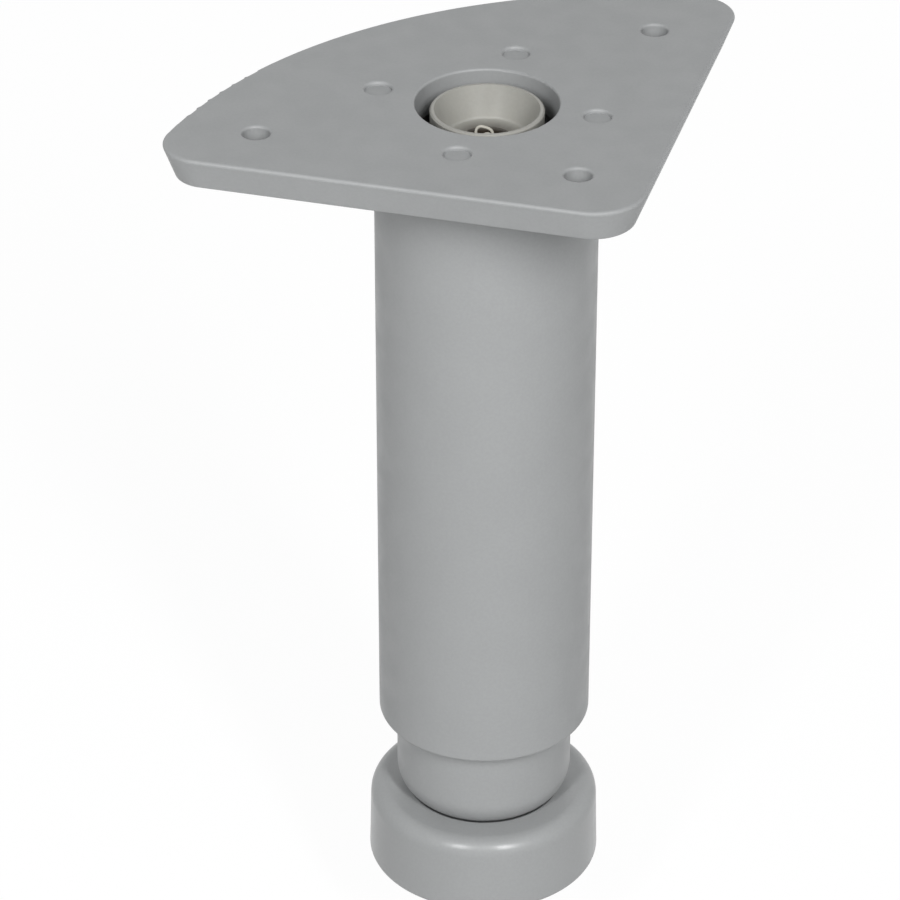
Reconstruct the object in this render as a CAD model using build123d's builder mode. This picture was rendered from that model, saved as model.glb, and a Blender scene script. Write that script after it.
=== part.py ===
"""Corner furniture leg: a quarter-round mounting plate moulded in one with a round
tube, and a foot on a hollow threaded stem that is screwed in or out to level it.

Millimetres. Z = 0 is the floor under the foot, +Z is up, and the origin is on the
axis of the tube. The plate's two straight edges lie along X and Y, and their corner
points to +X and -Y. Everything is drawn with the foot screwed right in.
"""

import os
from math import asin, degrees, radians, sqrt, tan

from build123d import *

# Overall
overall_height = 150.0  # floor to the plate's top face, foot screwed in

# Mounting plate
plate_thickness = 5.8
plate_draft = 20.0  # degrees, the edges lean in towards the underside
corner_inset = 32.3  # tube axis to each straight edge, at the top face
arc_radius = 82.3
arc_centre = (35.0, -33.5)  # a little beyond the corner where the straight edges would meet
corner_round = 9.0  # between the two straight edges
tip_round = 7.5  # where the arc meets a straight edge
plate_edge_round = 0.5
centre_hole_diameter = 23.6
centre_hole_round = 0.4

# Fixing holes: one at the corner, one along each straight edge
screw_hole_diameter = 4.5
screw_hole_round = 0.5
screw_hole_inset = 12.1  # corner hole to each straight edge
screw_hole_spacing = 53.0

# Four shallow ejector marks in the plate's top, above the wall of the tube
mark_diameter = 4.5
mark_depth = 0.7
mark_setback = 0.1  # mark's centre inside the tube's outer face
mark_count = 4

# Tube
tube_diameter = 37.0
tube_bore_diameter = 31.6
tube_end_height = 31.1  # floor to the tube's lower end
tube_end_round = 0.6
tube_root_round = 0.8  # where the tube runs into the plate
bush_shoulder = 0.5  # step in the bore that the bush is pushed up against

# Threaded bush, pressed into the tube
bush_length = 28.0
bush_sleeve_wall = 2.4
bush_ring_wall = 1.8
bush_web_thickness = 3.0
bush_rib_thickness = 1.8
bush_rib_count = 6

# Hollow stem
stem_diameter = 18.7
thread_clearance = 0.05  # all round, between the stem and the bush
stem_top_drop = 1.25  # the stem's rim below the plate's top face
stem_rim_wall = 0.7
stem_rim_chamfer = 0.25
stem_cup_depth = 5.45
stem_cup_floor_diameter = 14.1  # the cup narrows towards its floor
stem_cup_round = 0.5  # round its floor
stem_bore_diameter = 8.6
stem_foot_thickness = 6.0  # the lower end that the foot is snapped into

# Travel
foot_travel = 20.0
guide_length = 8.0  # neck still inside the tube when the foot is right out

# Neck, pushed on to the stem's lower end
neck_diameter = 30.8
neck_wall = 2.2
neck_end_round = 6.0
neck_floor_thickness = 7.0
neck_hub_wall = 2.2
neck_top_gap = 2.2  # between the neck's top and the bush when the foot is right in
neck_hub_height = 26.0

# Foot
foot_diameter = 41.0  # at the floor
foot_draft = 1.5  # degrees, the foot narrows towards the top
foot_height = 14.4
foot_top_round = 2.8
foot_edge_round = 0.8
foot_socket_depth = 1.6
foot_rim_round = 0.4  # round the mouth of the socket
foot_play = 0.3  # round the neck's end, and again under the snap head
foot_skirt_wall = 3.6
foot_boss_diameter = 14.0
foot_core_depth = 9.0
foot_rib_thickness = 1.8
foot_rib_count = 6

# Snap spigot in the middle of the foot
spigot_clearance = 0.08  # all round, in the stem's lower end
spigot_diameter = 6.8
snap_lip = 0.9  # how far the head stands out past the spigot
snap_head_height = 3.0
snap_head_land = 1.0
snap_tip_radius = 2.8
snap_slot_width = 1.2
snap_slot_depth = 8.0

# Heights and radii that follow from the sizes above
plate_underside = overall_height - plate_thickness
tube_radius = tube_diameter / 2
tube_bore_radius = tube_bore_diameter / 2
socket_floor_height = foot_height - foot_socket_depth
stem_end_height = socket_floor_height + foot_play
stem_top_height = overall_height - stem_top_drop
stem_radius = stem_diameter / 2
neck_radius = neck_diameter / 2
neck_top_height = tube_end_height + foot_travel + guide_length
bush_end_height = neck_top_height + neck_top_gap
bush_top_height = bush_end_height + bush_length
spigot_radius = spigot_diameter / 2
foot_radius = foot_diameter / 2
foot_top_radius = foot_radius - foot_height * tan(radians(foot_draft))


# The plate's outline: two straight edges and one arc
corner_point = (corner_inset, -corner_inset)
front_tip = (
    arc_centre[0] - sqrt(arc_radius**2 - (arc_centre[1] + corner_inset) ** 2),
    -corner_inset,
)
side_tip = (
    corner_inset,
    arc_centre[1] + sqrt(arc_radius**2 - (arc_centre[0] - corner_inset) ** 2),
)
arc_middle = (
    arc_centre[0] - arc_radius / sqrt(2),
    arc_centre[1] + arc_radius / sqrt(2),
)

# Leg body: plate and tube are one moulding
with BuildPart() as leg_body:
    with BuildSketch(Plane.XY.offset(overall_height)) as plate_outline:
        with BuildLine():
            Line(front_tip, corner_point)
            Line(corner_point, side_tip)
            ThreePointArc(side_tip, arc_middle, front_tip)
        make_face()
        tips = plate_outline.vertices().sort_by_distance(corner_point)[1:]
        fillet(tips, tip_round)
        corner = plate_outline.vertices().sort_by_distance(corner_point)[0]
        fillet(corner, corner_round)
    extrude(amount=-plate_thickness, taper=plate_draft)
    plate_rims = (
        leg_body.faces().sort_by(Axis.Z)[-1].edges()
        + leg_body.faces().sort_by(Axis.Z)[0].edges()
    )
    fillet(plate_rims, plate_edge_round)

    with BuildSketch(Plane.XY.offset(tube_end_height)):
        Circle(tube_radius)
    extrude(amount=plate_underside - tube_end_height)
    tube_root = leg_body.edges().filter_by(GeomType.CIRCLE).filter_by(
        lambda e: abs(e.radius - tube_radius) < 0.01
        and abs(e.center(CenterOf.MASS).Z - plate_underside) < 0.01
    )
    fillet(tube_root, tube_root_round)

    # Bore: wide up to the bush, a little tighter above it
    with BuildSketch(Plane.XY.offset(tube_end_height)):
        Circle(tube_bore_radius)
    extrude(amount=bush_top_height - tube_end_height, mode=Mode.SUBTRACT)
    with BuildSketch(Plane.XY.offset(bush_top_height)):
        Circle(tube_bore_radius - bush_shoulder)
    extrude(amount=plate_underside - bush_top_height, mode=Mode.SUBTRACT)
    tube_end = leg_body.faces().sort_by(Axis.Z)[0].edges()
    fillet(tube_end, tube_end_round)

    # Central hole, round which the stem's rim can be seen
    with BuildSketch(Plane.XY.offset(plate_underside)):
        Circle(centre_hole_diameter / 2)
    extrude(amount=plate_thickness, mode=Mode.SUBTRACT)

    # Fixing holes
    corner_hole = (corner_inset - screw_hole_inset, screw_hole_inset - corner_inset)
    front_hole = (corner_hole[0] - screw_hole_spacing, corner_hole[1])
    side_hole = (corner_hole[0], corner_hole[1] + screw_hole_spacing)
    with BuildSketch(Plane.XY.offset(plate_underside)):
        with Locations(corner_hole, front_hole, side_hole):
            Circle(screw_hole_diameter / 2)
    extrude(amount=plate_thickness, mode=Mode.SUBTRACT)

    # Ejector marks
    with BuildSketch(Plane.XY.offset(overall_height)):
        with PolarLocations(tube_radius - mark_setback, mark_count):
            Circle(mark_diameter / 2)
    extrude(amount=-mark_depth, mode=Mode.SUBTRACT)

    top_circles = leg_body.edges().filter_by(GeomType.CIRCLE).filter_by(
        lambda e: abs(e.center(CenterOf.MASS).Z - overall_height) < 0.01
    )
    fillet(
        top_circles.filter_by(lambda e: abs(e.radius - centre_hole_diameter / 2) < 0.01),
        centre_hole_round,
    )
    fillet(
        top_circles.filter_by(lambda e: abs(e.radius - screw_hole_diameter / 2) < 0.01),
        screw_hole_round,
    )


# Threaded bush: a sleeve for the stem, a ring that grips the tube, a web and ribs
with BuildPart() as threaded_bush:
    with BuildSketch(Plane.XY.offset(bush_end_height)):
        Circle(tube_bore_radius)
        Circle(tube_bore_radius - bush_ring_wall, mode=Mode.SUBTRACT)
    extrude(amount=bush_length)
    with BuildSketch(Plane.XY.offset(bush_end_height)):
        Circle(stem_radius + thread_clearance + bush_sleeve_wall)
    extrude(amount=bush_length)
    with BuildSketch(Plane.XY.offset(bush_top_height - bush_web_thickness)):
        Circle(tube_bore_radius)
    extrude(amount=bush_web_thickness)
    rib_middle = (stem_radius + tube_bore_radius) / 2
    with BuildSketch(Plane.XY.offset(bush_end_height)):
        with PolarLocations(rib_middle, bush_rib_count):
            Rectangle(tube_bore_radius - stem_radius - bush_ring_wall, bush_rib_thickness)
    extrude(amount=bush_length)
    with BuildSketch(Plane.XY.offset(bush_end_height)):
        Circle(stem_radius + thread_clearance)
    extrude(amount=bush_length, mode=Mode.SUBTRACT)


# Hollow stem: a thin-walled cup at the top, a bore, and a lower end for the foot's snap
with BuildPart() as stem:
    with BuildSketch(Plane.XZ):
        cup_floor_height = stem_top_height - stem_cup_depth
        cup_floor_radius = stem_cup_floor_diameter / 2
        bore_radius = stem_bore_diameter / 2
        snap_bore_radius = spigot_radius + spigot_clearance
        snap_floor_height = stem_end_height + stem_foot_thickness
        with BuildLine():
            Polyline(
                (snap_bore_radius, stem_end_height),
                (stem_radius, stem_end_height),
                (stem_radius, stem_top_height - stem_rim_chamfer),
                (stem_radius - stem_rim_chamfer, stem_top_height),
                (stem_radius - stem_rim_wall, stem_top_height),
                (cup_floor_radius, cup_floor_height),
                (bore_radius, cup_floor_height),
                (bore_radius, snap_floor_height),
                (snap_bore_radius, snap_floor_height),
                close=True,
            )
        make_face()
    revolve(axis=Axis.Z)
    cup_corner = stem.edges().filter_by(GeomType.CIRCLE).filter_by(
        lambda e: abs(e.radius - cup_floor_radius) < 0.01
    )
    fillet(cup_corner, stem_cup_round)


# Neck: a sleeve with a rounded lower end, which slides in the tube and hides the stem
with BuildPart() as neck:
    with BuildSketch(Plane.XZ) as neck_section:
        neck_floor_height = stem_end_height + neck_floor_thickness
        hub_radius = stem_radius + neck_hub_wall
        with BuildLine():
            Polyline(
                (stem_radius, stem_end_height),
                (neck_radius, stem_end_height),
                (neck_radius, neck_top_height),
                (neck_radius - neck_wall, neck_top_height),
                (neck_radius - neck_wall, neck_floor_height),
                (hub_radius, neck_floor_height),
                (hub_radius, stem_end_height + neck_hub_height),
                (stem_radius, stem_end_height + neck_hub_height),
                close=True,
            )
        make_face()
    revolve(axis=Axis.Z)
    lower_rim = neck.edges().filter_by(GeomType.CIRCLE).filter_by(
        lambda e: abs(e.radius - neck_radius) < 0.01
    )
    fillet(lower_rim.sort_by(Axis.Z)[0], neck_end_round)


# Foot: rounded round the top, cored and ribbed underneath, with a slotted snap spigot
with BuildPart() as foot:
    with BuildSketch(Plane.XZ):
        # The socket follows the neck's rounded end, with play all round
        round_centre = (neck_radius - neck_end_round, stem_end_height + neck_end_round)
        socket_radius = neck_end_round + foot_play
        rim_angle = degrees(asin((foot_height - round_centre[1]) / socket_radius))
        head_base_height = stem_end_height + stem_foot_thickness + foot_play
        head_radius = spigot_radius + snap_lip
        head_top_height = head_base_height + snap_head_height
        with BuildLine():
            socket = CenterArc(round_centre, socket_radius, -90, rim_angle + 90)
            Polyline(
                socket @ 1,
                (foot_top_radius, foot_height),
                (foot_radius, 0),
                (0, 0),
                (0, head_top_height),
                (snap_tip_radius, head_top_height),
                (head_radius, head_base_height + snap_head_land),
                (head_radius, head_base_height),
                (spigot_radius, head_base_height),
                (spigot_radius, socket_floor_height),
                socket @ 0,
            )
        make_face()
    revolve(axis=Axis.Z)
    outer_rims = foot.edges().filter_by(GeomType.CIRCLE).filter_by(
        lambda e: abs(e.radius - foot_radius) < 0.01
    )
    fillet(outer_rims, foot_edge_round)
    top_rims = foot.edges().filter_by(GeomType.CIRCLE).filter_by(
        lambda e: abs(e.center(CenterOf.MASS).Z - foot_height) < 0.01
    )
    fillet(top_rims.sort_by(SortBy.RADIUS)[-1], foot_top_round)
    top_rims = foot.edges().filter_by(GeomType.CIRCLE).filter_by(
        lambda e: abs(e.center(CenterOf.MASS).Z - foot_height) < 0.01
    )
    fillet(top_rims.sort_by(SortBy.RADIUS)[0], foot_rim_round)

    # Coring under the foot, left in ribs
    core_radius = foot_radius - foot_skirt_wall
    boss_radius = foot_boss_diameter / 2
    with BuildSketch(Plane.XY):
        Circle(core_radius)
        Circle(boss_radius, mode=Mode.SUBTRACT)
        with PolarLocations((core_radius + boss_radius) / 2, foot_rib_count):
            Rectangle(core_radius, foot_rib_thickness, mode=Mode.SUBTRACT)
    extrude(amount=foot_core_depth, mode=Mode.SUBTRACT)

    # Cross slots that let the snap head spring in
    with BuildSketch(Plane.XY.offset(head_top_height)):
        Rectangle(2 * head_radius, snap_slot_width)
        Rectangle(snap_slot_width, 2 * head_radius)
    extrude(amount=-snap_slot_depth, mode=Mode.SUBTRACT)


leg_body.part.label = "leg_body"
threaded_bush.part.label = "threaded_bush"
stem.part.label = "stem"
neck.part.label = "neck"
foot.part.label = "foot"

os.makedirs("parts", exist_ok=True)
export_step(leg_body.part, "parts/leg_body.step")
export_step(threaded_bush.part, "parts/threaded_bush.step")
export_step(stem.part, "parts/stem.step")
export_step(neck.part, "parts/neck.step")
export_step(foot.part, "parts/foot.step")
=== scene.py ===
"""Looks of the adjustable corner furniture leg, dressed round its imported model.

Metres. Z = 0 is the foot's underside at rest, +Z is up, and the origin is on the tube's
axis. The plate's two straight edges lie along X and Y, and their corner points to +X
and -Y.
"""

import logging
import math
from dataclasses import dataclass, field
from enum import Enum

import bmesh
import bpy
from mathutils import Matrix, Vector


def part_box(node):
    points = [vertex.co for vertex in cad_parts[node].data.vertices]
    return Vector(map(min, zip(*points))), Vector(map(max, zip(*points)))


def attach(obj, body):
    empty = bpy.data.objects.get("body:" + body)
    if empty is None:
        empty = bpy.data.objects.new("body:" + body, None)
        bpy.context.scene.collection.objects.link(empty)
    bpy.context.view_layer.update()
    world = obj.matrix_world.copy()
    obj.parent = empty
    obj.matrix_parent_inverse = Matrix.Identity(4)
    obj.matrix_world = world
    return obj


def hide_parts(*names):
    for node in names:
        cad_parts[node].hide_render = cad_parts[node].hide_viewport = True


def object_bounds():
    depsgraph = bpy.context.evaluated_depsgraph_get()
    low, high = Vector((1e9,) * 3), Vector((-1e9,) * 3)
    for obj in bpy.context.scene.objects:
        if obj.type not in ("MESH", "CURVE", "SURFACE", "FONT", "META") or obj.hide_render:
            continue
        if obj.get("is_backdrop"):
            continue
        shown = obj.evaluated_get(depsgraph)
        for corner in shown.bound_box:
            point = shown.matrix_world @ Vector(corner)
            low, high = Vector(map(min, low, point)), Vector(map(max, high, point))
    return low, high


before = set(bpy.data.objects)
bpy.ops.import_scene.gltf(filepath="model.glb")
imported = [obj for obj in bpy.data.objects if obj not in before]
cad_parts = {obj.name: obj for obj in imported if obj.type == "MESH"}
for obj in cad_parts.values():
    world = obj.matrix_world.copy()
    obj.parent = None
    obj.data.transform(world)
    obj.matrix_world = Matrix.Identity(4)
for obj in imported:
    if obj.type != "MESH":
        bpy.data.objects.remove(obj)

MM = 0.001
IMAGE_SIDE = 900  # the photograph's frame, in pixels
SENSOR_WIDTH = 36.0  # mm
SHARP_ANGLE = math.radians(35)
WHITE = (1.0, 1.0, 1.0, 1.0)
NOISE_RANGE = (0.3, 0.7)  # holds nearly all values of a noise texture

log = logging.getLogger("furniture_leg")


class Body(Enum):
    """Rigid bodies of the leg that a piece can ride on."""

    LEG = "leg"
    STEM = "stem"
    FOOT = "foot"


class Slot(Enum):
    """Material slots of the record."""

    GREY = "grey_plastic"
    NATURAL = "natural_plastic"


class NodeDraft:
    """A node tree that is put together step by step."""

    def __init__(self, tree: bpy.types.NodeTree) -> None:
        """Takes over a tree and empties it.

        Args:
            tree: The tree of a material, a world or a modifier.
        """
        self.nodes, self.links = tree.nodes, tree.links
        self.nodes.clear()

    def feed(self, value: object, socket: bpy.types.NodeSocket) -> None:
        """Links a socket, or sets a value, into an input."""
        if isinstance(value, bpy.types.NodeSocket):
            self.links.new(value, socket)
        else:
            socket.default_value = value

    def node(self, kind: str, **inputs: object) -> bpy.types.Node:
        """Adds a node.

        Args:
            kind: The node's type.
            inputs: Values or sockets by input name, with underscores for spaces.

        Returns:
            The node.
        """
        node = self.nodes.new(kind)
        for name, value in inputs.items():
            self.feed(value, node.inputs[name.replace("_", " ")])
        return node

    def math(
        self, operation: str, first: object, second: object = 0.0, clamp: bool = False
    ) -> bpy.types.NodeSocket:
        """Adds a Math node.

        Args:
            operation: The node's operation.
            first: A socket or a number.
            second: A socket or a number.
            clamp: Whether the result is held between 0 and 1.

        Returns:
            The result.
        """
        node = self.nodes.new("ShaderNodeMath")
        node.operation = operation
        node.use_clamp = clamp
        for socket, value in zip(node.inputs, (first, second)):
            self.feed(value, socket)
        return node.outputs["Value"]

    def length(self, x: bpy.types.NodeSocket, y: bpy.types.NodeSocket) -> bpy.types.NodeSocket:
        """Adds the length of a vector with two parts."""
        squares = self.math("ADD", self.math("MULTIPLY", x, x), self.math("MULTIPLY", y, y))
        return self.math("SQRT", squares)

    def split(self, vector: bpy.types.NodeSocket) -> tuple[bpy.types.NodeSocket, ...]:
        """Splits a vector into its three parts."""
        return tuple(self.node("ShaderNodeSeparateXYZ", Vector=vector).outputs)

    def rays(self, first: str, *others: str) -> bpy.types.NodeSocket:
        """Adds a value that is 1 for rays of some kinds.

        Args:
            first: Name of an output of the Light Path node.
            others: Names of more of its outputs.

        Returns:
            The value.
        """
        kinds = self.nodes.new("ShaderNodeLightPath").outputs
        value = kinds[first]
        for other in others:
            value = self.math("MAXIMUM", value, kinds[other])
        return value

    def mixed(
        self, share: bpy.types.NodeSocket, first: bpy.types.Node, second: bpy.types.Node
    ) -> bpy.types.NodeSocket:
        """Mixes two shaders.

        Args:
            share: The second shader's share.
            first: The shader that shows at 0.
            second: The shader that shows at 1.

        Returns:
            The mixed shader.
        """
        mix = self.node("ShaderNodeMixShader", Fac=share)
        self.links.new(first.outputs[0], mix.inputs[1])
        self.links.new(second.outputs[0], mix.inputs[2])
        return mix.outputs[0]


class MaterialDraft(NodeDraft):
    """A material of one Principled shader, with patterns on Object coordinates."""

    def __init__(self, name: str) -> None:
        """Starts a plain material.

        Args:
            name: The material's name.
        """
        self.material = bpy.data.materials.new(name)
        self.material.use_nodes = True
        super().__init__(self.material.node_tree)
        self.shader = self.nodes.new("ShaderNodeBsdfPrincipled")
        self.node("ShaderNodeOutputMaterial", Surface=self.shader.outputs["BSDF"])
        self.place = self.nodes.new("ShaderNodeTexCoord").outputs["Object"]

    def noise(self, feature: float, detail: float = 2.0) -> bpy.types.NodeSocket:
        """Adds a noise with features of a real size.

        Args:
            feature: Size of one feature, in metres.
            detail: Octaves of finer noise.

        Returns:
            The noise's factor socket.
        """
        texture = self.node(
            "ShaderNodeTexNoise", Vector=self.place, Scale=1.0 / feature, Detail=detail
        )
        return texture.outputs["Fac"]

    def span(
        self, source: bpy.types.NodeSocket, low: float, high: float, start: float, end: float
    ) -> bpy.types.NodeSocket:
        """Maps a range of a value to another range, held at both ends.

        Args:
            source: The socket to map.
            low: Start of the source's range.
            high: End of the source's range.
            start: Result at low.
            end: Result at high.

        Returns:
            The mapped value.
        """
        node = self.node(
            "ShaderNodeMapRange",
            Value=source, From_Min=low, From_Max=high, To_Min=start, To_Max=end,
        )
        node.interpolation_type = "SMOOTHSTEP"
        return node.outputs["Result"]

    def patches(self, feature: float, middle: float, spread: float) -> bpy.types.NodeSocket:
        """Adds a value that wanders over the surface.

        Args:
            feature: Size of one patch, in metres.
            middle: The value's middle.
            spread: How far it goes to either side.

        Returns:
            The value.
        """
        return self.span(self.noise(feature), *NOISE_RANGE, middle - spread, middle + spread)

    def tinted(
        self, colour: tuple[float, float, float], share: bpy.types.NodeSocket
    ) -> bpy.types.NodeSocket:
        """Multiplies a colour by a value that varies over the surface.

        Args:
            colour: The plain colour.
            share: The factor, around 1.

        Returns:
            The colour socket.
        """
        node = self.nodes.new("ShaderNodeVectorMath")
        node.operation = "SCALE"
        self.feed(colour, node.inputs[0])
        self.feed(share, node.inputs["Scale"])
        return node.outputs["Vector"]

    def mix_painted_shade(self, colour: tuple[float, float, float], share: bpy.types.NodeSocket) -> None:
        """Mixes the colour of painted shade into the colour that the material has so far.

        Args:
            colour: The painted shade's colour.
            share: The painted shade's share, 0 to 1.
        """
        # painted shade: a dark colour mixed over the base colour
        base = self.shader.inputs["Base Color"]
        mix = self.nodes.new("ShaderNodeMix")
        mix.data_type = "RGBA"
        # A Mix node has a set of sockets for each data type: these are the ones for colours.
        factor, plain, painted_shade, result = mix.inputs[0], mix.inputs[6], mix.inputs[7], mix.outputs[2]
        self.feed(share, factor)
        self.feed(base.links[0].from_socket, plain)
        self.feed((*colour, 1.0), painted_shade)
        self.feed(result, base)

    def add_bump(self, height: bpy.types.NodeSocket, distance: float) -> None:
        """Adds a bump on top of the bumps that the material has so far.

        Args:
            height: Height socket, 0 to 1.
            distance: What a height of 1 stands for, in metres.
        """
        normal = self.shader.inputs["Normal"]
        bump = self.node("ShaderNodeBump", Height=height, Distance=distance)
        if normal.is_linked:
            self.feed(normal.links[0].from_socket, bump.inputs["Normal"])
        self.feed(bump.outputs["Normal"], normal)


@dataclass(frozen=True)
class MouldedPlastic:
    """A moulded plastic finish with cloudy colour, fine grain and a soft waviness."""

    name: str
    colour: tuple[float, float, float]
    roughness: float
    specular: float = 0.5
    cloud_size: float = 14 * MM
    cloud_share: float = 0.012
    speck_size: float = 0.5 * MM
    speck_share: float = 0.018
    grain_size: float = 0.22 * MM
    grain_height: float = 0.004 * MM
    grain_detail: float = 3.0
    wave_size: float = 3.5 * MM
    wave_height: float = 0.005 * MM
    wave_detail: float = 1.0
    patches_per_cloud: float = 3.0  # how much finer the roughness changes than the colour
    roughness_spread: float = 0.06
    translucency: float = 0.0
    translucent_depth: float = 0.9 * MM
    translucent_reach: tuple[float, float, float] = (1.0, 0.9, 0.7)

    def draft(self) -> MaterialDraft:
        """Builds the finish.

        Returns:
            The draft, whose material is ready to use.
        """
        draft = MaterialDraft(self.name)
        shader = draft.shader.inputs
        clouds = draft.patches(self.cloud_size, 1.0, self.cloud_share)
        specks = draft.patches(self.speck_size, 1.0, self.speck_share)
        shade = draft.math("MULTIPLY", clouds, specks)
        draft.feed(draft.tinted(self.colour, shade), shader["Base Color"])
        patch_size = self.cloud_size / self.patches_per_cloud
        roughness = draft.patches(patch_size, self.roughness, self.roughness_spread)
        draft.feed(roughness, shader["Roughness"])
        draft.feed(self.specular, shader["Specular IOR Level"])
        draft.add_bump(draft.noise(self.wave_size, self.wave_detail), self.wave_height)
        draft.add_bump(draft.noise(self.grain_size, self.grain_detail), self.grain_height)
        if self.translucency:
            draft.feed(self.translucency, shader["Subsurface Weight"])
            draft.feed(self.translucent_reach, shader["Subsurface Radius"])
            draft.feed(self.translucent_depth, shader["Subsurface Scale"])
        return draft


GREY_COLOUR = (0.338, 0.345, 0.347)
GREY = MouldedPlastic("grey moulding", GREY_COLOUR, roughness=0.5)
FOOT_GREY = MouldedPlastic(
    "grey foot moulding", GREY_COLOUR, roughness=0.31, roughness_spread=0.025
)
NATURAL = MouldedPlastic(
    "natural moulding", (0.355, 0.35, 0.322), roughness=0.42, translucency=0.1, cloud_share=0.03
)
WIRE = MouldedPlastic(
    "pale wire", (0.5, 0.48, 0.42), roughness=0.4, grain_height=0.002 * MM, wave_height=0.0
)


@dataclass
class WornRim:
    """The plate's upper edge, whose round is a little uneven from handling."""

    inset: float
    top: float
    arc_radius: float = 82.3 * MM
    arc_centre: tuple[float, float] = (35.0 * MM, -33.5 * MM)
    reach: float = 1.1 * MM
    full_at_edge: float = 0.2  # shares of the reach within which the nicks are full
    full_at_top: float = 0.3
    nick_size: float = 2.4 * MM
    nick_height: float = 0.06 * MM
    nick_detail: float = 3.0

    def draft(self, finish: MouldedPlastic) -> MaterialDraft:
        """Adds the uneven edge to a finish.

        Args:
            finish: The plate's finish.

        Returns:
            The draft with nicks along the plate's upper edge.
        """
        draft = finish.draft()
        x, y, z = draft.split(draft.place)
        front = draft.math("SUBTRACT", draft.math("MULTIPLY", y, -1.0), self.inset)
        side = draft.math("SUBTRACT", x, self.inset)
        across = draft.math("SUBTRACT", x, self.arc_centre[0])
        along = draft.math("SUBTRACT", y, self.arc_centre[1])
        arc = draft.math("SUBTRACT", draft.length(across, along), self.arc_radius)
        outward = draft.math("MAXIMUM", draft.math("MAXIMUM", front, side), arc)
        near_edge = draft.span(outward, -self.reach, -self.full_at_edge * self.reach, 0.0, 1.0)
        low, high = self.top - self.reach, self.top - self.full_at_top * self.reach
        near_top = draft.span(z, low, high, 0.0, 1.0)
        mask = draft.math("MULTIPLY", near_edge, near_top)
        nicks = draft.math("MULTIPLY", draft.noise(self.nick_size, self.nick_detail), mask)
        draft.add_bump(nicks, self.nick_height)
        return draft


@dataclass
class PaintedBoreShade:
    """The stem's bore and the floor round its mouth, darkened dark brown by painted shade."""

    mouth: float
    bore_radius: float
    # dark brown of the painted shade in the bore and on the cup's floor
    colour: tuple[float, float, float] = (0.052, 0.04, 0.03)
    floor_reach: float = 3.2 * MM
    floor_share: float = 0.6
    edge_size: float = 1.5 * MM
    edge_wander: float = 0.6 * MM
    depth: float = 1.0 * MM
    bore_share: float = 0.45
    bore_margin: float = 0.2 * MM

    def draft(self, finish: MouldedPlastic) -> MaterialDraft:
        """Adds the painted shade to a finish.

        Args:
            finish: The stem's finish.

        Returns:
            The draft, with painted shade dark brown in the bore and fading out over the cup's
            floor.
        """
        draft = finish.draft()
        x, y, z = draft.split(draft.place)
        radius = draft.length(x, y)
        wander = draft.math("MULTIPLY", draft.noise(self.edge_size), self.edge_wander)
        uneven = draft.math("ADD", radius, wander)
        floor_end = self.bore_radius + self.floor_reach
        # painted shade on the cup's floor, strongest at the bore and fading outwards
        near = draft.span(uneven, self.bore_radius, floor_end, self.floor_share, 0.0)
        # painted shade down the bore, darker with depth
        deep = draft.span(z, self.mouth - self.depth, self.mouth, self.bore_share, 0.0)
        inside = draft.span(
            radius, self.bore_radius, self.bore_radius + self.bore_margin, 1.0, 0.0
        )
        share = draft.math("ADD", near, draft.math("MULTIPLY", deep, inside), clamp=True)
        draft.mix_painted_shade(self.colour, share)
        return draft


def smooth(mesh: bpy.types.Mesh) -> None:
    """Shades a mesh smooth, apart from its sharp edges."""
    mesh.polygons.foreach_set("use_smooth", [True] * len(mesh.polygons))
    mesh.set_sharp_from_angle(angle=SHARP_ANGLE)


def new_piece(name: str, mesh: bpy.types.Mesh, material: bpy.types.Material) -> bpy.types.Object:
    """Puts a mesh into the scene as one piece with one material.

    Args:
        name: The piece's name.
        mesh: Its mesh, in place.
        material: Its finish.

    Returns:
        The new object.
    """
    mesh.materials.clear()
    mesh.materials.append(material)
    piece = bpy.data.objects.new(name, mesh)
    bpy.context.scene.collection.objects.link(piece)
    return piece


def revolved(name: str, profile: list[tuple[float, float]], segments: int) -> bpy.types.Mesh:
    """Turns a closed profile of radius and height round Z.

    Args:
        name: The mesh's name.
        profile: Points (radius, height), the last one joined to the first.
        segments: Steps round the axis.

    Returns:
        A closed mesh with its faces outwards.
    """
    shape = bmesh.new()
    rings = []
    for radius, height in profile:
        ring = []
        for step in range(segments):
            turn = 2 * math.pi * step / segments
            ring.append(shape.verts.new((radius * math.cos(turn), radius * math.sin(turn), height)))
        rings.append(ring)
    for lower, upper in zip(rings, rings[1:] + rings[:1]):
        for step in range(segments):
            after = (step + 1) % segments
            shape.faces.new((lower[step], lower[after], upper[after], upper[step]))
    bmesh.ops.recalc_face_normals(shape, faces=shape.faces)
    mesh = bpy.data.meshes.new(name)
    shape.to_mesh(mesh)
    shape.free()
    return mesh


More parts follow.
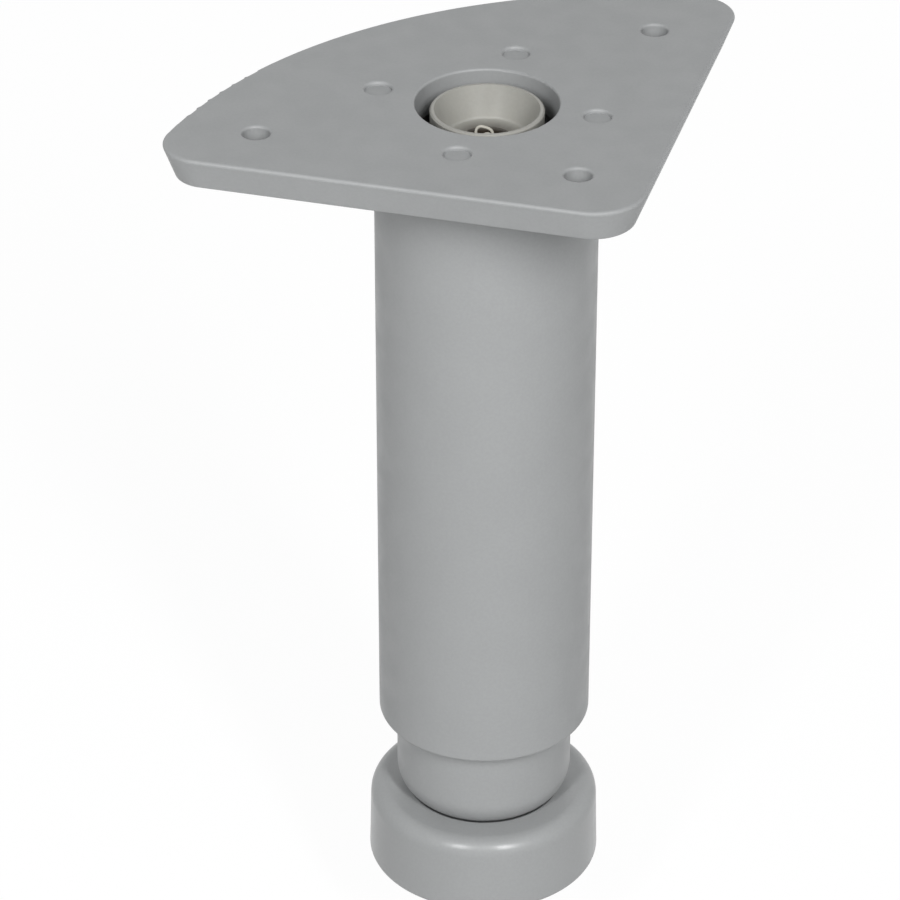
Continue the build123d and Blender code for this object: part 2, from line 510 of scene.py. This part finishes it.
class TreeDraft(NodeDraft):
    """A Geometry Nodes tree under construction, with a geometry going in and one coming out."""

    def __init__(self, name: str) -> None:
        """Starts the tree.

        Args:
            name: The tree's name.
        """
        self.name = name
        self.tree = bpy.data.node_groups.new(name, "GeometryNodeTree")
        for way in ("INPUT", "OUTPUT"):
            self.tree.interface.new_socket(
                "Geometry", in_out=way, socket_type="NodeSocketGeometry"
            )
        super().__init__(self.tree)
        self.start = self.nodes.new("NodeGroupInput")
        self.end = self.nodes.new("NodeGroupOutput")

    def size(self, name: str) -> bpy.types.NodeSocket:
        """Adds a named size to the tree's inputs and returns its socket inside."""
        self.tree.interface.new_socket(name, in_out="INPUT", socket_type="NodeSocketFloat")
        return self.start.outputs[name]

    def applied(self, piece: bpy.types.Object, sizes: dict[str, float]) -> bpy.types.Mesh:
        """Runs the tree on a piece and returns the result as a plain mesh.

        Args:
            piece: The object that goes in.
            sizes: Values of the named inputs.

        Returns:
            The finished mesh.
        """
        modifier = piece.modifiers.new(self.name, "NODES")
        modifier.node_group = self.tree
        for item in self.tree.interface.items_tree:
            if item.item_type == "SOCKET" and item.name in sizes:
                modifier[item.identifier] = sizes[item.name]
        bpy.context.view_layer.update()
        evaluated = piece.evaluated_get(bpy.context.evaluated_depsgraph_get())
        mesh = bpy.data.meshes.new_from_object(evaluated)
        piece.modifiers.clear()
        return mesh


@dataclass
class ThreadedStem:
    """The hollow stem: its cup and bore as they are in the solids, its outside threaded."""

    radius: float
    bottom: float
    top: float
    rim_wall: float = 0.7 * MM
    rim_round: float = 0.25 * MM
    cup_depth: float = 5.45 * MM
    cup_floor_radius: float = 7.05 * MM
    cup_round: float = 0.5 * MM
    cup_steps: int = 6
    bore_radius: float = 4.3 * MM
    snap_radius: float = 3.48 * MM
    snap_depth: float = 6.0 * MM
    hub_depth: float = 26.0 * MM
    plain_top: float = 7.5 * MM
    pitch: float = 3.0 * MM
    thread_depth: float = 0.95 * MM
    run_out: float = 1.5 * MM
    groove_reach: float = 0.36  # from a groove's middle to its edge, as a share of the pitch
    flank_slope: float = 4.6
    cut_from: float = 0.995  # share of the radius beyond which the surface is the outside
    segments: int = 96
    rows_per_pitch: int = 12

    def profile(self) -> list[tuple[float, float]]:
        """Draws the section, with close rows where the thread is cut.

        Returns:
            Points (radius, height) round the closed section.
        """
        start = self.bottom + self.hub_depth
        end = self.top - self.plain_top
        rows = round((end - start) / self.pitch * self.rows_per_pitch)
        wall = [(self.radius, start + (end - start) * row / rows) for row in range(rows + 1)]
        inner_rim = self.radius - self.rim_wall
        floor = self.top - self.cup_depth
        snap_top = self.bottom + self.snap_depth
        rim = [(self.radius, self.top - self.rim_round), (self.radius - self.rim_round, self.top)]
        inside = [
            (inner_rim, self.top),
            *self.cup_corner(inner_rim, floor),
            (self.bore_radius, floor),
            (self.bore_radius, snap_top),
            (self.snap_radius, snap_top),
            (self.snap_radius, self.bottom),
        ]
        return [(self.radius, self.bottom)] + wall + rim + inside

    def cup_corner(self, inner_rim: float, floor: float) -> list[tuple[float, float]]:
        """Draws the round between the cup's leaning wall and its floor.

        Args:
            inner_rim: The cup's radius at the top.
            floor: Height of its floor.

        Returns:
            Points (radius, height) from the wall to the floor.
        """
        lean = math.atan2(inner_rim - self.cup_floor_radius, self.cup_depth)
        span = math.pi / 2 - lean
        reach = self.cup_round * math.tan(span / 2)
        middle = (self.cup_floor_radius - reach, floor + self.cup_round)
        points = []
        for step in range(self.cup_steps + 1):
            turn = -lean - span * step / self.cup_steps
            out, up = self.cup_round * math.cos(turn), self.cup_round * math.sin(turn)
            points.append((middle[0] + out, middle[1] + up))
        return points

    def thread_cutter(self, material: bpy.types.Material) -> TreeDraft:
        """Builds the tree that cuts a right-hand thread into the outside.

        Args:
            material: The stem's finish.

        Returns:
            The tree, with named sizes.
        """
        draft = TreeDraft("cut thread")
        radius, pitch, depth = draft.size("Radius"), draft.size("Pitch"), draft.size("Depth")
        low, high, fade = draft.size("Low"), draft.size("High"), draft.size("Fade")
        x, y, z = draft.split(draft.node("GeometryNodeInputPosition").outputs[0])
        turn = draft.math("DIVIDE", draft.math("ARCTAN2", y, x), 2 * math.pi)
        phase = draft.math("FRACT", draft.math("SUBTRACT", draft.math("DIVIDE", z, pitch), turn))
        from_middle = draft.math("ABSOLUTE", draft.math("SUBTRACT", phase, 0.5))
        inwards = draft.math("SUBTRACT", self.groove_reach, from_middle)
        slope = draft.math("MULTIPLY", inwards, self.flank_slope)
        groove = draft.math("MAXIMUM", draft.math("MINIMUM", slope, 1.0), 0.0)
        rise = draft.math("DIVIDE", draft.math("SUBTRACT", z, low), fade, clamp=True)
        fall = draft.math("DIVIDE", draft.math("SUBTRACT", high, z), fade, clamp=True)
        ends = draft.math("MULTIPLY", rise, fall)
        cut = draft.math("MULTIPLY", draft.math("MULTIPLY", groove, depth), ends)
        factor = draft.math("DIVIDE", draft.math("SUBTRACT", radius, cut), radius)
        joined = draft.node(
            "ShaderNodeCombineXYZ",
            X=draft.math("MULTIPLY", x, factor), Y=draft.math("MULTIPLY", y, factor), Z=z,
        )
        outside = draft.node("FunctionNodeCompare")
        outside.operation = "GREATER_THAN"
        draft.feed(draft.length(x, y), outside.inputs[0])
        draft.feed(draft.math("MULTIPLY", radius, self.cut_from), outside.inputs[1])
        moved = draft.node(
            "GeometryNodeSetPosition",
            Geometry=draft.start.outputs["Geometry"],
            Selection=outside.outputs["Result"],
            Position=joined.outputs[0],
        )
        real = draft.node("GeometryNodeRealizeInstances", Geometry=moved.outputs[0])
        dressed = draft.node(
            "GeometryNodeSetMaterial", Geometry=real.outputs[0], Material=material
        )
        draft.feed(dressed.outputs[0], draft.end.inputs["Geometry"])
        return draft

    def build(self, material: bpy.types.Material) -> bpy.types.Object:
        """Makes the stem, in place of its plain solid.

        Args:
            material: Its finish.

        Returns:
            The threaded stem.
        """
        blank = revolved("stem blank", self.profile(), self.segments)
        piece = new_piece("threaded_stem", blank, material)
        sizes = {
            "Radius": self.radius,
            "Pitch": self.pitch,
            "Depth": self.thread_depth,
            "Low": self.bottom + self.hub_depth,
            "High": self.top - self.plain_top,
            "Fade": self.run_out,
        }
        piece.data = self.thread_cutter(material).applied(piece, sizes)
        smooth(piece.data)
        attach(piece, Body.STEM.value)
        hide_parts("stem")
        return piece


@dataclass
class WireCurl:
    """A small curl of thin wire, lodged in the stem's bore by its two legs."""

    centre: Vector = field(default_factory=lambda: Vector((0.0, 0.0, 144.0)) * MM)
    heading: float = 15.0
    lean: float = 25.0
    wire_radius: float = 0.24 * MM
    ring_detail: int = 3
    steps_between_points: int = 6
    route: tuple[tuple[float, float, float], ...] = (
        (-3.8, -3.2, -0.5),
        (-2.5, -2.2, -0.4),
        (-1.82, -0.9, -0.2),
        (-1.77, 0.1, 0.0),
        (-1.81, 0.65, 0.0),
        (-1.45, 1.2, 0.0),
        (-0.9, 1.34, 0.0),
        (-0.3, 1.2, 0.0),
        (0.2, 1.03, 0.0),
        (0.66, 0.72, 0.0),
        (0.87, 0.3, 0.0),
        (0.82, -0.35, 0.1),
        (0.35, -0.85, 0.25),
        (-0.35, -0.85, 0.4),
        (-0.7, -0.4, 0.5),
        (-0.48, 0.02, 0.6),
        (0.08, 0.2, 0.65),
        (0.66, -0.05, 0.7),
        (0.95, -0.7, 0.7),
        (1.6, -1.9, 0.4),
        (3.7, -3.2, 0.0),
    )

    def path(self) -> list[Vector]:
        """Places the route: across, up and forward in mm, in the plane of the loops.

        Returns:
            Points along the wire.
        """
        heading, lean = math.radians(self.heading), math.radians(self.lean)
        forward = Vector((
            math.sin(heading) * math.cos(lean),
            -math.cos(heading) * math.cos(lean),
            math.sin(lean),
        ))
        across = Vector((math.cos(heading), math.sin(heading), 0.0))
        rise = forward.cross(across)
        return [
            self.centre + (across * u + rise * v + forward * w) * MM for u, v, w in self.route
        ]

    def build(self, material: bpy.types.Material) -> bpy.types.Object:
        """Makes the curl.

        Args:
            material: The wire's finish.

        Returns:
            The curl.
        """
        curve = bpy.data.curves.new("wire curl", "CURVE")
        curve.dimensions = "3D"
        curve.bevel_depth = self.wire_radius
        curve.bevel_resolution = self.ring_detail
        curve.use_fill_caps = True
        points = self.path()
        spline = curve.splines.new("BEZIER")
        spline.bezier_points.add(len(points) - 1)
        for target, point in zip(spline.bezier_points, points):
            target.co = point
            target.handle_left_type = "AUTO"
            target.handle_right_type = "AUTO"
        spline.resolution_u = self.steps_between_points
        draft = bpy.data.objects.new("wire curl", curve)
        bpy.context.scene.collection.objects.link(draft)
        bpy.context.view_layer.update()
        evaluated = draft.evaluated_get(bpy.context.evaluated_depsgraph_get())
        mesh = bpy.data.meshes.new_from_object(evaluated)
        bpy.data.objects.remove(draft)
        smooth(mesh)
        piece = new_piece("wire_curl", mesh, material)
        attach(piece, Body.STEM.value)
        return piece


@dataclass(frozen=True)
class SoftLight:
    """An upright strip light that faces the leg."""

    name: str
    power: float
    width: float
    height: float
    azimuth: float
    elevation: float
    distance: float
    gloss: bool = True  # whether the plastic mirrors it

    def hang(self, target: Vector) -> bpy.types.Object:
        """Hangs the light.

        Args:
            target: The point it faces.

        Returns:
            The lamp.
        """
        lamp = bpy.data.lights.new(self.name, "AREA")
        lamp.shape = "ELLIPSE"
        lamp.size = self.width
        lamp.size_y = self.height
        lamp.energy = self.power
        holder = bpy.data.objects.new(self.name, lamp)
        holder.visible_glossy = self.gloss
        bpy.context.scene.collection.objects.link(holder)
        azimuth, elevation = math.radians(self.azimuth), math.radians(self.elevation)
        out = Vector((
            math.sin(azimuth) * math.cos(elevation),
            -math.cos(azimuth) * math.cos(elevation),
            math.sin(elevation),
        ))
        holder.location = target + out * self.distance
        holder.rotation_euler = out.to_track_quat("Z", "Y").to_euler()
        return holder


@dataclass
class Studio:
    """A white ground, two strip lights in front, two low fills behind and an even sky."""

    ground_radius: float = 4.0
    ground_segments: int = 96
    ground_drop: float = 20.05 * MM  # the foot's travel, and a hair more
    ground_colour: tuple[float, float, float] = (0.56, 0.56, 0.56)
    ground_glow: float = 0.9
    glow_strength: float = 1.06
    sky_colour: tuple[float, float, float] = (0.95, 0.98, 1.0)
    sky_strength: float = 0.16
    lamps: tuple[SoftLight, ...] = (
        SoftLight(
            "left key", power=3.4, width=0.1, height=0.46,
            azimuth=-9.0, elevation=34.0, distance=0.9,
        ),
        SoftLight(
            "right key", power=29.3, width=0.25, height=1.15,
            azimuth=38.5, elevation=35.8, distance=2.2,
        ),
        SoftLight(
            "left fill", power=5.2, width=0.6, height=0.6,
            azimuth=227.0, elevation=8.0, distance=1.5, gloss=False,
        ),
        SoftLight(
            "right fill", power=5.2, width=0.6, height=0.6,
            azimuth=163.0, elevation=8.0, distance=1.5, gloss=False,
        ),
    )

    def ground(self) -> bpy.types.Object:
        """Makes the ground, white to the camera apart from a pale shadow."""
        shape = bmesh.new()
        bmesh.ops.create_circle(
            shape, cap_ends=True, segments=self.ground_segments, radius=self.ground_radius
        )
        bmesh.ops.translate(shape, verts=shape.verts, vec=(0.0, 0.0, -self.ground_drop))
        mesh = bpy.data.meshes.new("ground")
        shape.to_mesh(mesh)
        shape.free()
        ground = new_piece("ground", mesh, self.ground_material())
        ground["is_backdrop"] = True
        return ground

    def ground_material(self) -> bpy.types.Material:
        """Builds the ground's material.

        Returns:
            A material that is plain pale grey to all but camera and glossy rays.
        """
        material = bpy.data.materials.new("white ground")
        material.use_nodes = True
        draft = NodeDraft(material.node_tree)
        plain = draft.node("ShaderNodeBsdfDiffuse", Color=(*self.ground_colour, 1.0))
        glow = draft.node("ShaderNodeEmission", Color=WHITE, Strength=self.glow_strength)
        seen = draft.rays("Is Camera Ray", "Is Glossy Ray")
        share = draft.math("MULTIPLY", seen, self.ground_glow)
        draft.node("ShaderNodeOutputMaterial", Surface=draft.mixed(share, plain, glow))
        return material

    def sky(self) -> None:
        """Sets the world: white where it is seen or reflected, softer where it only lights."""
        world = bpy.data.worlds.new("even sky")
        bpy.context.scene.world = world
        world.use_nodes = True
        draft = NodeDraft(world.node_tree)
        light = draft.node(
            "ShaderNodeBackground", Color=(*self.sky_colour, 1.0), Strength=self.sky_strength
        )
        white = draft.node("ShaderNodeBackground", Color=WHITE, Strength=1.0)
        seen = draft.rays("Is Camera Ray", "Is Glossy Ray", "Is Transmission Ray")
        draft.node("ShaderNodeOutputWorld", Surface=draft.mixed(seen, light, white))


@dataclass
class PhotoCamera:
    """The camera at the photograph's viewpoint, without lens shift."""

    place: Vector = field(default_factory=lambda: Vector((151.9, -572.3, 453.9)) * MM)
    focal_pixels: float = 4096.6
    pitch: float = 32.029
    heading: float = 15.448
    nearest: float = 0.01
    farthest: float = 20.0

    def build(self) -> bpy.types.Object:
        """Makes the camera and the scene use it."""
        lens = bpy.data.cameras.new("photo camera")
        lens.sensor_width = SENSOR_WIDTH
        lens.lens = self.focal_pixels / IMAGE_SIDE * SENSOR_WIDTH
        lens.clip_start = self.nearest
        lens.clip_end = self.farthest
        camera = bpy.data.objects.new("photo camera", lens)
        camera.location = self.place
        camera.rotation_euler = (math.radians(90 - self.pitch), 0.0, math.radians(self.heading))
        bpy.context.scene.collection.objects.link(camera)
        bpy.context.scene.camera = camera
        return camera


class FurnitureLeg:
    """The whole leg: the carried-over solids with their finishes, and the added pieces."""

    def dress(self) -> None:
        """Gives each solid its finish."""
        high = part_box("leg_body")[1]
        rim = WornRim(inset=high.x, top=high.z)
        finishes = {
            "leg_body": rim.draft(GREY).material,
            "neck": GREY.draft().material,
            "foot": FOOT_GREY.draft().material,
            "threaded_bush": NATURAL.draft().material,
        }
        for node, material in finishes.items():
            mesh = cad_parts[node].data
            mesh.materials.clear()
            mesh.materials.append(material)
            log.info("%s is finished in %s", node, material.name)

    def build(self) -> None:
        """Makes the pieces that the solids leave out."""
        low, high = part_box("stem")
        stem = ThreadedStem(radius=high.x, bottom=low.z, top=high.z)
        # painted shade in the bore and on the cup's floor
        painted_shade = PaintedBoreShade(mouth=stem.top - stem.cup_depth, bore_radius=stem.bore_radius)
        log.info("made %s", stem.build(painted_shade.draft(NATURAL).material).name)
        log.info("made %s", WireCurl().build(WIRE.draft().material).name)


def main() -> None:
    """Builds the scene in order."""
    logging.basicConfig(level=logging.INFO)
    solids_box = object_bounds()
    bpy.context.scene.view_settings.view_transform = "Standard"
    leg = FurnitureLeg()
    leg.dress()
    leg.build()
    studio = Studio()
    studio.ground()
    studio.sky()
    for lamp in studio.lamps:
        lamp.hang((solids_box[0] + solids_box[1]) / 2)
    PhotoCamera().build()


if __name__ == "__main__":
    main()
